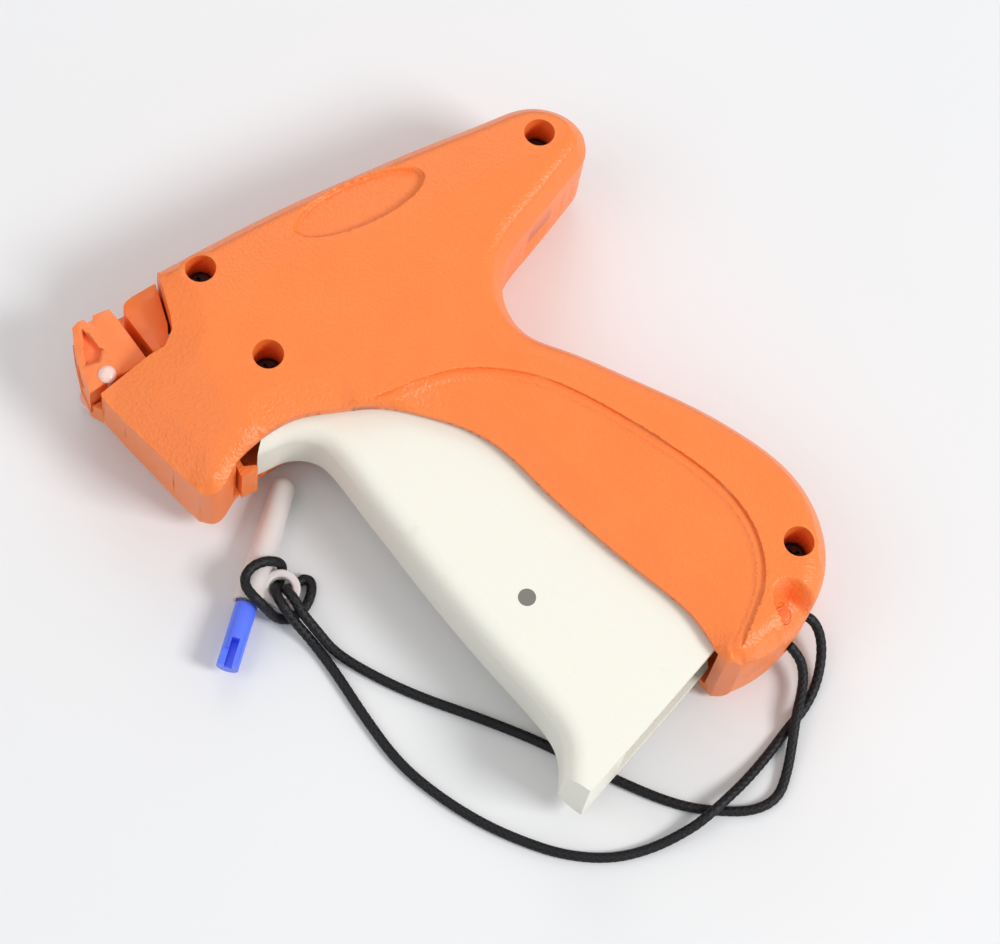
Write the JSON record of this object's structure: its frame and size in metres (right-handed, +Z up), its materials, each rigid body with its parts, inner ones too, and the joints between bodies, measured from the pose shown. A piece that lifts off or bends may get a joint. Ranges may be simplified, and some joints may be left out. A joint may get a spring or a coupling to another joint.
{
  "type": "garment tag fastener attaching gun",
  "caption": "Pistol-shaped tag fastener gun with a squeeze trigger, slotted nose, wrist cord and a capped needle.",
  "frame": {"origin": "middle of the gun's own bounding box on the surface it lies on, without the cord and what is on it", "axes": "+Z up out of the gun's left side, -X out of the muzzle, -Y down the grip"},
  "size_m": [0.1142, 0.144, 0.028],
  "materials": {
    "shell_plastic": "moulded, leather grain",
    "trigger_plastic": "satin moulded",
    "white_nylon": "moulded",
    "clear_nylon": "milky translucent",
    "blue_plastic": "translucent moulded",
    "pin_steel": "cropped end",
    "dark_steel": "black oxide",
    "blade_steel": "ground",
    "spring_steel": "drawn wire",
    "black_cord": "braided"
  },
  "bodies": {
    "root": {"left_shell": "shell_plastic", "right_shell": "shell_plastic", "nose_block": "shell_plastic", "comb_guide": "shell_plastic", "exit_chute": "shell_plastic", "knife_blade": "blade_steel", "case_screws": "dark_steel", "trigger_pivot_pin": "pin_steel", "lever_pivot_pin": "pin_steel", "feed_axle": "pin_steel", "pawl_pivot_pin": "pin_steel", "lanyard_post": "shell_plastic", "detent_leaf": "spring_steel", "return_spring": "spring_steel", "spring_seat": "white_nylon", "pawl_spring": "spring_steel", "needle_cap": "clear_nylon", "wrist_cord": "black_cord"},
    "trigger": {"trigger": "trigger_plastic", "trigger_pin": "pin_steel", "connecting_arm": "white_nylon", "arm_pin": "pin_steel"},
    "drive_lever": {"drive_lever": "white_nylon"},
    "carriage": {"push_carriage": "white_nylon", "carriage_pin": "pin_steel", "push_rod": "blade_steel"},
    "feed_wheel": {"feed_wheel": "white_nylon", "feed_ratchet": "white_nylon"},
    "feed_pawl": {"feed_pawl": "white_nylon"},
    "needle_lock": {"needle_lock_pin": "clear_nylon"},
    "needle": {"needle_tube": "blade_steel", "needle_hub": "blue_plastic"}
  },
  "joints": [
    {"name": "trigger_pivot", "type": "hinge", "parent": "root", "child": "trigger", "pos_m": [-0.02495, 0.02627, 0.014], "axis": [0, 0, 1], "range_deg": [0, 20], "stiffness_Nm_per_rad": 0.35, "springref_deg": -20.05, "deforming": ["return_spring"]},
    {"name": "lever_pivot", "type": "hinge", "parent": "root", "child": "drive_lever", "pos_m": [0.00005, 0.02627, 0.014], "axis": [0, 0, 1], "range_deg": [0, 77.01]},
    {"name": "carriage_slide", "type": "slide", "parent": "root", "child": "carriage", "axis": [-1, 0, 0], "range_m": [0, 0.03501]},
    {"name": "feed_wheel_spin", "type": "hinge", "parent": "root", "child": "feed_wheel", "pos_m": [-0.03645, 0.03327, 0.014], "axis": [0, 0, 1], "continuous": true},
    {"name": "feed_pawl_pivot", "type": "hinge", "parent": "root", "child": "feed_pawl", "pos_m": [-0.03195, 0.04347, 0.018], "axis": [0, 0, 1], "range_deg": [0, 14], "stiffness_Nm_per_rad": 0.002},
    {"name": "needle_lock_turn", "type": "hinge", "parent": "root", "child": "needle_lock", "pos_m": [-0.05225, 0.04827, 0.014], "axis": [0, 0, 1], "range_deg": [0, 90]},
    {"name": "needle_pull", "type": "slide", "parent": "root", "child": "needle", "axis": [-0.6661, -0.7433, 0.0609], "range_m": [0, 0.026]}
  ],
  "couplings": [
    {"joint": "lever_pivot", "follows": "trigger_pivot", "ratio": 3.85},
    {"joint": "carriage_slide", "follows": "trigger_pivot", "m_per_rad": 0.10027}
  ]
}
